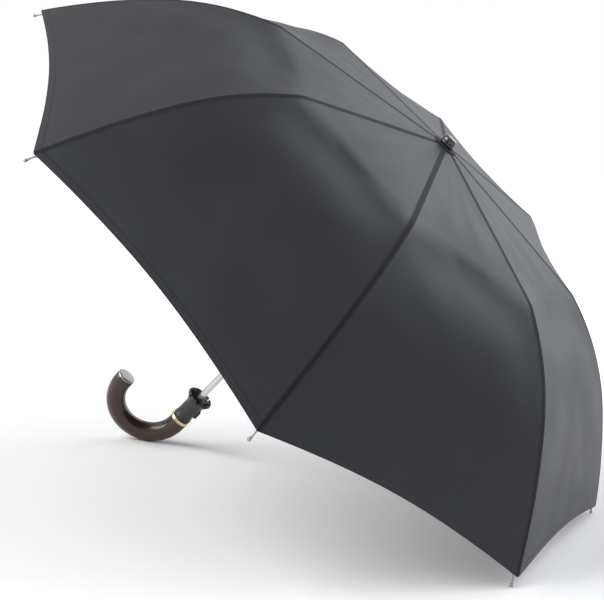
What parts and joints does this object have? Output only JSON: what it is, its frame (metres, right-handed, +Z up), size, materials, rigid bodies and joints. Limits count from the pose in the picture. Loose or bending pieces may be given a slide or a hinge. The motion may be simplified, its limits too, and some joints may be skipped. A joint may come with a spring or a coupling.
{
  "type": "folding crook umbrella",
  "caption": "Automatic folding umbrella with a curved wooden crook, telescoping steel shaft and a domed dark fabric canopy on jointed ribs, open and lying on the ground",
  "frame": {"origin": "On the ground, under the middle of the outline of the open umbrella as it lies on two rib tips and the bend of its crook", "axes": "+Z up; the shaft lies in the XZ plane and rises towards +X, so the crook is at -X, turned 27.7 degrees on the shaft and the two tips that touch the ground are at +X; Y runs across the canopy"},
  "size_m": [0.6918, 0.8678, 0.5685],
  "materials": {
    "fabric": "black closely woven polyester with a soft satin sheen",
    "chrome": "bright plated steel",
    "rib_steel": "zinc-plated steel strip",
    "wood": "dark brown lacquered wood",
    "brass": "polished gold-coloured ring",
    "black_plastic": "black moulded plastic",
    "end_cap": "light grey metal cap"
  },
  "bodies": {
    "handle": {"crook_handle": "wood", "crook_end_cap": "end_cap", "handle_collar": "brass", "button_housing": "black_plastic", "lower_tube": "chrome"},
    "button": {"push_button": "black_plastic"},
    "crown": {"upper_tube": "chrome", "top_notch": "black_plastic", "notch_wire": "chrome", "crown_rosette": "fabric", "crown_cap": "black_plastic"},
    "runner": {"runner": "black_plastic"},
    "rib_1_inner": {"inner_rib_1": "rib_steel", "canopy_panel_1": "fabric"},
    "rib_1_outer": {"outer_rib_1": "rib_steel"},
    "rib_1_tip": {"tip_rod_1": "chrome"},
    "rib_1_stretcher": {"stretcher_1": "rib_steel"},
    "rib_2_inner": {"inner_rib_2": "rib_steel", "canopy_panel_2": "fabric"},
    "rib_2_outer": {"outer_rib_2": "rib_steel"},
    "rib_2_tip": {"tip_rod_2": "chrome"},
    "rib_2_stretcher": {"stretcher_2": "rib_steel"},
    "rib_3_inner": {"inner_rib_3": "rib_steel", "canopy_panel_3": "fabric"},
    "rib_3_outer": {"outer_rib_3": "rib_steel"},
    "rib_3_tip": {"tip_rod_3": "chrome"},
    "rib_3_stretcher": {"stretcher_3": "rib_steel"},
    "rib_4_inner": {"inner_rib_4": "rib_steel", "canopy_panel_4": "fabric"},
    "rib_4_outer": {"outer_rib_4": "rib_steel"},
    "rib_4_tip": {"tip_rod_4": "chrome"},
    "rib_4_stretcher": {"stretcher_4": "rib_steel"},
    "rib_5_inner": {"inner_rib_5": "rib_steel", "canopy_panel_5": "fabric"},
    "rib_5_outer": {"outer_rib_5": "rib_steel"},
    "rib_5_tip": {"tip_rod_5": "chrome"},
    "rib_5_stretcher": {"stretcher_5": "rib_steel"},
    "rib_6_inner": {"inner_rib_6": "rib_steel", "canopy_panel_6": "fabric"},
    "rib_6_outer": {"outer_rib_6": "rib_steel"},
    "rib_6_tip": {"tip_rod_6": "chrome"},
    "rib_6_stretcher": {"stretcher_6": "rib_steel"},
    "rib_7_inner": {"inner_rib_7": "rib_steel", "canopy_panel_7": "fabric"},
    "rib_7_outer": {"outer_rib_7": "rib_steel"},
    "rib_7_tip": {"tip_rod_7": "chrome"},
    "rib_7_stretcher": {"stretcher_7": "rib_steel"},
    "rib_8_inner": {"inner_rib_8": "rib_steel", "canopy_panel_8": "fabric"},
    "rib_8_outer": {"outer_rib_8": "rib_steel"},
    "rib_8_tip": {"tip_rod_8": "chrome"},
    "rib_8_stretcher": {"stretcher_8": "rib_steel"}
  },
  "joints": [
    {"name": "shaft_telescope", "type": "slide", "parent": "handle", "child": "crown", "axis": [-0.6101, 0, -0.7923], "range_m": [0, 0.185]},
    {"name": "button_press", "type": "slide", "parent": "handle", "child": "button", "axis": [-0.7015, -0.4648, 0.5402], "range_m": [0, 0.0025], "stiffness_N_per_m": 600, "springref_m": -0.002},
    {"name": "canopy_fold", "type": "hinge", "parent": "crown", "child": "rib_1_inner", "pos_m": [0.12293, -0.00383, 0.44252], "axis": [0.3032, -0.9239, -0.2335], "range_deg": [0, 79.75], "deforming": ["canopy_panel_1", "canopy_panel_2", "canopy_panel_3", "canopy_panel_4", "canopy_panel_5", "canopy_panel_6", "canopy_panel_7", "canopy_panel_8"]},
    {"name": "inner_rib_fold_2", "type": "hinge", "parent": "crown", "child": "rib_2_inner", "pos_m": [0.12722, -0.00924, 0.43922], "axis": [0.732, -0.3827, -0.5637], "range_deg": [0, 79.75]},
    {"name": "inner_rib_fold_3", "type": "hinge", "parent": "crown", "child": "rib_3_inner", "pos_m": [0.13329, -0.00924, 0.43455], "axis": [0.732, 0.3827, -0.5637], "range_deg": [0, 79.75]},
    {"name": "inner_rib_fold_4", "type": "hinge", "parent": "crown", "child": "rib_4_inner", "pos_m": [0.13757, -0.00383, 0.43124], "axis": [0.3032, 0.9239, -0.2335], "range_deg": [0, 79.75]},
    {"name": "inner_rib_fold_5", "type": "hinge", "parent": "crown", "child": "rib_5_inner", "pos_m": [0.13757, 0.00383, 0.43124], "axis": [-0.3032, 0.9239, 0.2335], "range_deg": [0, 79.75]},
    {"name": "inner_rib_fold_6", "type": "hinge", "parent": "crown", "child": "rib_6_inner", "pos_m": [0.13329, 0.00924, 0.43455], "axis": [-0.732, 0.3827, 0.5637], "range_deg": [0, 79.75]},
    {"name": "inner_rib_fold_7", "type": "hinge", "parent": "crown", "child": "rib_7_inner", "pos_m": [0.12722, 0.00924, 0.43922], "axis": [-0.732, -0.3827, 0.5637], "range_deg": [0, 79.75]},
    {"name": "inner_rib_fold_8", "type": "hinge", "parent": "crown", "child": "rib_8_inner", "pos_m": [0.12293, 0.00383, 0.44252], "axis": [-0.3032, -0.9239, 0.2335], "range_deg": [0, 79.75]},
    {"name": "stretcher_fold_1", "type": "hinge", "parent": "rib_1_inner", "child": "rib_1_stretcher", "pos_m": [0.0271, -0.04943, 0.49852], "axis": [-0.3032, 0.9239, 0.2335], "range_deg": [0, 135.14]},
    {"name": "elbow_fold_1", "type": "hinge", "parent": "rib_1_inner", "child": "rib_1_outer", "pos_m": [-0.05964, -0.09071, 0.54921], "axis": [-0.3032, 0.9239, 0.2335], "range_deg": [0, 196.85]},
    {"name": "rib_flex_1", "type": "hinge", "parent": "rib_1_outer", "child": "rib_1_tip", "pos_m": [-0.20551, -0.14149, 0.56072], "axis": [-0.3032, 0.9239, 0.2335], "range_deg": [0, 22.95]},
    {"name": "stretcher_fold_2", "type": "hinge", "parent": "rib_2_inner", "child": "rib_2_stretcher", "pos_m": [0.08249, -0.11934, 0.45587], "axis": [-0.732, 0.3827, 0.5637], "range_deg": [0, 135.14]},
    {"name": "elbow_fold_2", "type": "hinge", "parent": "rib_2_inner", "child": "rib_2_outer", "pos_m": [0.042, -0.21899, 0.47094], "axis": [-0.732, 0.3827, 0.5637], "range_deg": [0, 196.85]},
    {"name": "rib_flex_2", "type": "hinge", "parent": "rib_2_outer", "child": "rib_2_tip", "pos_m": [-0.04697, -0.34159, 0.43864], "axis": [-0.732, 0.3827, 0.5637], "range_deg": [0, 22.95]},
    {"name": "stretcher_fold_3", "type": "hinge", "parent": "rib_3_inner", "child": "rib_3_stretcher", "pos_m": [0.16082, -0.11934, 0.39555], "axis": [-0.732, -0.3827, 0.5637], "range_deg": [0, 135.14]},
    {"name": "elbow_fold_3", "type": "hinge", "parent": "rib_3_inner", "child": "rib_3_outer", "pos_m": [0.18574, -0.21899, 0.36026], "axis": [-0.732, -0.3827, 0.5637], "range_deg": [0, 196.85]},
    {"name": "rib_flex_3", "type": "hinge", "parent": "rib_3_outer", "child": "rib_3_tip", "pos_m": [0.17723, -0.34159, 0.26599], "axis": [-0.732, -0.3827, 0.5637], "range_deg": [0, 22.95]},
    {"name": "stretcher_fold_4", "type": "hinge", "parent": "rib_4_inner", "child": "rib_4_stretcher", "pos_m": [0.2162, -0.04943, 0.3529], "axis": [-0.3032, -0.9239, 0.2335], "range_deg": [0, 135.14]},
    {"name": "elbow_fold_4", "type": "hinge", "parent": "rib_4_inner", "child": "rib_4_outer", "pos_m": [0.28737, -0.09071, 0.28199], "axis": [-0.3032, -0.9239, 0.2335], "range_deg": [0, 196.85]},
    {"name": "rib_flex_4", "type": "hinge", "parent": "rib_4_outer", "child": "rib_4_tip", "pos_m": [0.33577, -0.14149, 0.1439], "axis": [-0.3032, -0.9239, 0.2335], "range_deg": [0, 22.95]},
    {"name": "stretcher_fold_5", "type": "hinge", "parent": "rib_5_inner", "child": "rib_5_stretcher", "pos_m": [0.2162, 0.04943, 0.3529], "axis": [0.3032, -0.9239, -0.2335], "range_deg": [0, 135.14]},
    {"name": "elbow_fold_5", "type": "hinge", "parent": "rib_5_inner", "child": "rib_5_outer", "pos_m": [0.28737, 0.09071, 0.28199], "axis": [0.3032, -0.9239, -0.2335], "range_deg": [0, 196.85]},
    {"name": "rib_flex_5", "type": "hinge", "parent": "rib_5_outer", "child": "rib_5_tip", "pos_m": [0.33577, 0.14149, 0.1439], "axis": [0.3032, -0.9239, -0.2335], "range_deg": [0, 22.95]},
    {"name": "stretcher_fold_6", "type": "hinge", "parent": "rib_6_inner", "child": "rib_6_stretcher", "pos_m": [0.16082, 0.11934, 0.39555], "axis": [0.732, -0.3827, -0.5637], "range_deg": [0, 135.14]},
    {"name": "elbow_fold_6", "type": "hinge", "parent": "rib_6_inner", "child": "rib_6_outer", "pos_m": [0.18574, 0.21899, 0.36026], "axis": [0.732, -0.3827, -0.5637], "range_deg": [0, 196.85]},
    {"name": "rib_flex_6", "type": "hinge", "parent": "rib_6_outer", "child": "rib_6_tip", "pos_m": [0.17723, 0.34159, 0.26599], "axis": [0.732, -0.3827, -0.5637], "range_deg": [0, 22.95]},
    {"name": "stretcher_fold_7", "type": "hinge", "parent": "rib_7_inner", "child": "rib_7_stretcher", "pos_m": [0.08249, 0.11934, 0.45587], "axis": [0.732, 0.3827, -0.5637], "range_deg": [0, 135.14]},
    {"name": "elbow_fold_7", "type": "hinge", "parent": "rib_7_inner", "child": "rib_7_outer", "pos_m": [0.042, 0.21899, 0.47094], "axis": [0.732, 0.3827, -0.5637], "range_deg": [0, 196.85]},
    {"name": "rib_flex_7", "type": "hinge", "parent": "rib_7_outer", "child": "rib_7_tip", "pos_m": [-0.04697, 0.34159, 0.43864], "axis": [0.732, 0.3827, -0.5637], "range_deg": [0, 22.95]},
    {"name": "stretcher_fold_8", "type": "hinge", "parent": "rib_8_inner", "child": "rib_8_stretcher", "pos_m": [0.0271, 0.04943, 0.49852], "axis": [0.3032, 0.9239, -0.2335], "range_deg": [0, 135.14]},
    {"name": "elbow_fold_8", "type": "hinge", "parent": "rib_8_inner", "child": "rib_8_outer", "pos_m": [-0.05964, 0.09071, 0.54921], "axis": [0.3032, 0.9239, -0.2335], "range_deg": [0, 196.85]},
    {"name": "rib_flex_8", "type": "hinge", "parent": "rib_8_outer", "child": "rib_8_tip", "pos_m": [-0.20551, 0.14149, 0.56072], "axis": [0.3032, 0.9239, -0.2335], "range_deg": [0, 22.95]},
    {"name": "runner_slide", "type": "slide", "parent": "crown", "child": "runner", "axis": [-0.6101, 0, -0.7923], "range_m": [0, 0.1722]}
  ],
  "couplings": [
    {"joint": "inner_rib_fold_2", "follows": "canopy_fold", "ratio": 1},
    {"joint": "inner_rib_fold_3", "follows": "canopy_fold", "ratio": 1},
    {"joint": "inner_rib_fold_4", "follows": "canopy_fold", "ratio": 1},
    {"joint": "inner_rib_fold_5", "follows": "canopy_fold", "ratio": 1},
    {"joint": "inner_rib_fold_6", "follows": "canopy_fold", "ratio": 1},
    {"joint": "inner_rib_fold_7", "follows": "canopy_fold", "ratio": 1},
    {"joint": "inner_rib_fold_8", "follows": "canopy_fold", "ratio": 1},
    {"joint": "stretcher_fold_1", "follows": "canopy_fold", "ratio": 1.694},
    {"joint": "elbow_fold_1", "follows": "canopy_fold", "ratio": 2.4677},
    {"joint": "rib_flex_1", "follows": "canopy_fold", "ratio": 0.28715},
    {"joint": "stretcher_fold_2", "follows": "canopy_fold", "ratio": 1.694},
    {"joint": "elbow_fold_2", "follows": "canopy_fold", "ratio": 2.4677},
    {"joint": "rib_flex_2", "follows": "canopy_fold", "ratio": 0.28715},
    {"joint": "stretcher_fold_3", "follows": "canopy_fold", "ratio": 1.694},
    {"joint": "elbow_fold_3", "follows": "canopy_fold", "ratio": 2.4677},
    {"joint": "rib_flex_3", "follows": "canopy_fold", "ratio": 0.28715},
    {"joint": "stretcher_fold_4", "follows": "canopy_fold", "ratio": 1.694},
    {"joint": "elbow_fold_4", "follows": "canopy_fold", "ratio": 2.4677},
    {"joint": "rib_flex_4", "follows": "canopy_fold", "ratio": 0.28715},
    {"joint": "stretcher_fold_5", "follows": "canopy_fold", "ratio": 1.694},
    {"joint": "elbow_fold_5", "follows": "canopy_fold", "ratio": 2.4677},
    {"joint": "rib_flex_5", "follows": "canopy_fold", "ratio": 0.28715},
    {"joint": "stretcher_fold_6", "follows": "canopy_fold", "ratio": 1.694},
    {"joint": "elbow_fold_6", "follows": "canopy_fold", "ratio": 2.4677},
    {"joint": "rib_flex_6", "follows": "canopy_fold", "ratio": 0.28715},
    {"joint": "stretcher_fold_7", "follows": "canopy_fold", "ratio": 1.694},
    {"joint": "elbow_fold_7", "follows": "canopy_fold", "ratio": 2.4677},
    {"joint": "rib_flex_7", "follows": "canopy_fold", "ratio": 0.28715},
    {"joint": "stretcher_fold_8", "follows": "canopy_fold", "ratio": 1.694},
    {"joint": "elbow_fold_8", "follows": "canopy_fold", "ratio": 2.4677},
    {"joint": "rib_flex_8", "follows": "canopy_fold", "ratio": 0.28715},
    {"joint": "runner_slide", "follows": "canopy_fold", "m_per_rad": 0.12358}
  ]
}
